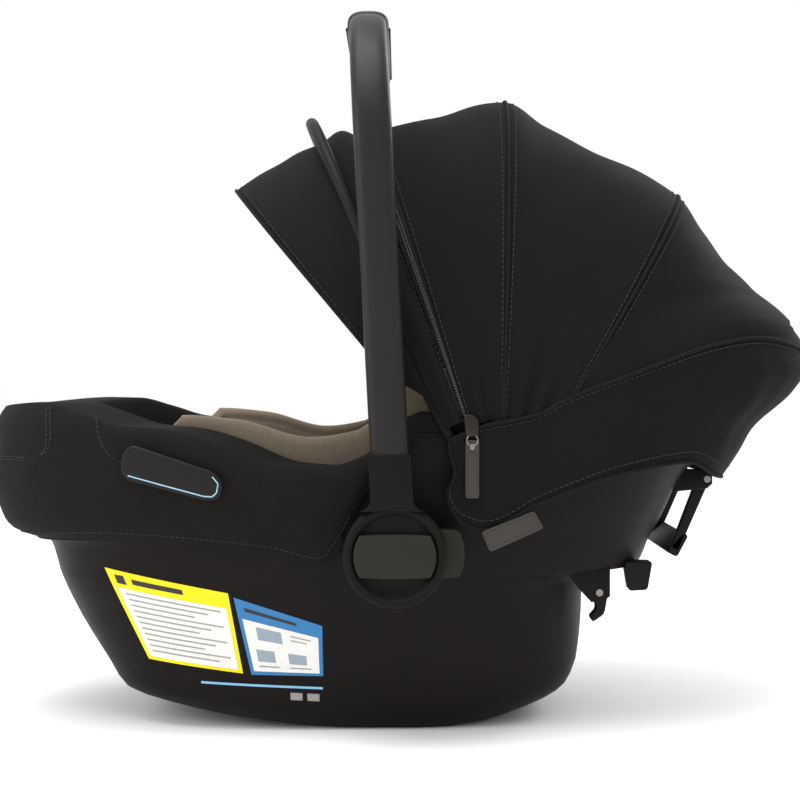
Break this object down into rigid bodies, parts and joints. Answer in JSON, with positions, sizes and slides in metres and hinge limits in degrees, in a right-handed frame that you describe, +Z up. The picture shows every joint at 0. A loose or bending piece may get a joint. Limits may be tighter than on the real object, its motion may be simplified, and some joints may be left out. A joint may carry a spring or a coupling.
{
  "type": "infant car seat",
  "caption": "Rear-facing infant carrier shell with padded seat, five-point harness, turning carry handle, folding three-panel canopy with visor, and rear release lever.",
  "frame": {"origin": "middle of the flat under the rocker, on the floor the seat stands on", "axes": "+X from the toe end to the head end, +Y across the seat, +Z up"},
  "size_m": [0.7058, 0.4456, 0.6019],
  "materials": {
    "shell_plastic": "satin",
    "satin_plastic": "satin",
    "hub_plastic": "satin",
    "olive_plastic": "satin",
    "black_plastic": "satin",
    "red_plastic": "satin",
    "cover_cloth": "matte",
    "canopy_cloth": "matte",
    "insert_cloth": "matte",
    "webbing": "matte",
    "leather": "satin",
    "foam": "matte",
    "steel": "satin"
  },
  "bodies": {
    "shell": {"shell": "shell_plastic", "foam_liner": "foam", "seat_cover": "cover_cloth", "seat_pad": "cover_cloth", "insert": "insert_cloth", "head_pillow": "insert_cloth", "shoulder_strap_left": "webbing", "shoulder_strap_right": "webbing", "shoulder_pad_left": "cover_cloth", "shoulder_pad_right": "cover_cloth", "lap_strap_left": "webbing", "lap_strap_right": "webbing", "buckle_tongue_left": "steel", "buckle_tongue_right": "steel", "crotch_strap": "webbing", "buckle_body": "black_plastic", "adjuster_strap": "webbing", "adjuster_housing": "black_plastic", "pivot_boss_left": "olive_plastic", "pivot_boss_right": "olive_plastic", "canopy_mount_left": "black_plastic", "canopy_mount_right": "black_plastic", "belt_guide_left": "black_plastic", "belt_guide_right": "black_plastic", "canopy_apron": "canopy_cloth", "leather_tag": "leather", "lever_axle": "steel", "rear_lug_left": "black_plastic", "rear_lug_right": "black_plastic"},
    "handle": {"handle_bar": "satin_plastic", "handle_grip": "satin_plastic", "handle_hub_left": "hub_plastic", "handle_hub_right": "hub_plastic"},
    "button_left": {"handle_button_left": "olive_plastic"},
    "button_right": {"handle_button_right": "olive_plastic"},
    "canopy_rear": {"canopy_bow_rear": "black_plastic", "canopy_panel_rear": "canopy_cloth"},
    "canopy_mid": {"canopy_bow_mid": "black_plastic", "canopy_panel_mid": "canopy_cloth"},
    "canopy_front": {"canopy_bow_front": "black_plastic", "canopy_panel_front": "canopy_cloth", "zipper_band": "black_plastic", "extension_fold": "canopy_cloth"},
    "visor": {"visor": "canopy_cloth"},
    "zipper_slider": {"zipper_slider": "steel"},
    "zipper_pull": {"zipper_pull": "leather"},
    "release_lever": {"release_lever": "black_plastic"},
    "latch": {"latch_axle": "steel", "latch_hook_left": "black_plastic", "latch_hook_right": "black_plastic"},
    "chest_clip": {"chest_clip": "black_plastic"},
    "buckle_button": {"buckle_button": "red_plastic"},
    "adjuster_button": {"adjuster_button": "black_plastic"}
  },
  "joints": [
    {"name": "handle_turn", "type": "hinge", "parent": "shell", "child": "handle", "pos_m": [-0.004, 0, 0.156], "axis": [0, 1, 0], "range_deg": [-100, 105]},
    {"name": "button_left_press", "type": "slide", "parent": "handle", "child": "button_left", "axis": [0, 1, 0], "range_m": [0, 0.0048], "stiffness_N_per_m": 900},
    {"name": "button_right_press", "type": "slide", "parent": "handle", "child": "button_right", "axis": [0, -1, 0], "range_m": [0, 0.0048], "stiffness_N_per_m": 900},
    {"name": "canopy_fold_rear", "type": "hinge", "parent": "shell", "child": "canopy_rear", "pos_m": [0.079, 0, 0.182], "axis": [0, 1, 0], "range_deg": [0, 13], "deforming": ["canopy_panel_rear"]},
    {"name": "canopy_fold_mid", "type": "hinge", "parent": "canopy_rear", "child": "canopy_mid", "pos_m": [0.079, 0, 0.182], "axis": [0, 1, 0], "range_deg": [0, 15.6], "deforming": ["canopy_panel_mid"]},
    {"name": "canopy_fold_front", "type": "hinge", "parent": "canopy_mid", "child": "canopy_front", "pos_m": [0.079, 0, 0.182], "axis": [0, 1, 0], "range_deg": [0, 17.33], "deforming": ["canopy_panel_front", "zipper_band", "extension_fold"]},
    {"name": "visor_tuck", "type": "hinge", "parent": "canopy_front", "child": "visor", "pos_m": [0.079, 0, 0.182], "axis": [0, 1, 0], "range_deg": [0, 9], "deforming": ["visor"]},
    {"name": "zipper_slide", "type": "slide", "parent": "canopy_front", "child": "zipper_slider", "axis": [-0.3643, 0.0202, 0.9311], "range_m": [0, 0.08]},
    {"name": "zipper_pull_swing", "type": "hinge", "parent": "zipper_slider", "child": "zipper_pull", "pos_m": [0.057, -0.2003, 0.2475], "axis": [0, 1, 0], "range_deg": [-35, 38]},
    {"name": "release_lever_turn", "type": "hinge", "parent": "shell", "child": "release_lever", "pos_m": [0.266, 0, 0.207], "axis": [0, 1, 0], "range_deg": [-14, 0], "stiffness_Nm_per_rad": 0.8, "springref_deg": 6.88},
    {"name": "latch_turn", "type": "hinge", "parent": "shell", "child": "latch", "pos_m": [0.167, 0, 0.115], "axis": [0, 1, 0], "range_deg": [-28, 0]},
    {"name": "chest_clip_slide", "type": "slide", "parent": "shell", "child": "chest_clip", "axis": [0.809, 0, 0.5878], "range_m": [-0.025, 0.004]},
    {"name": "buckle_button_press", "type": "slide", "parent": "shell", "child": "buckle_button", "axis": [0, 0, -1], "range_m": [0, 0.0008], "stiffness_N_per_m": 1500},
    {"name": "adjuster_button_press", "type": "hinge", "parent": "shell", "child": "adjuster_button", "pos_m": [-0.156, 0, 0.1545], "axis": [0, 1, 0], "range_deg": [0, 1.2], "stiffness_Nm_per_rad": 0.5}
  ],
  "couplings": [
    {"joint": "canopy_fold_mid", "follows": "canopy_fold_rear", "ratio": 1.2},
    {"joint": "canopy_fold_front", "follows": "canopy_fold_rear", "ratio": 1.3333},
    {"joint": "latch_turn", "follows": "release_lever_turn", "ratio": 2}
  ]
}
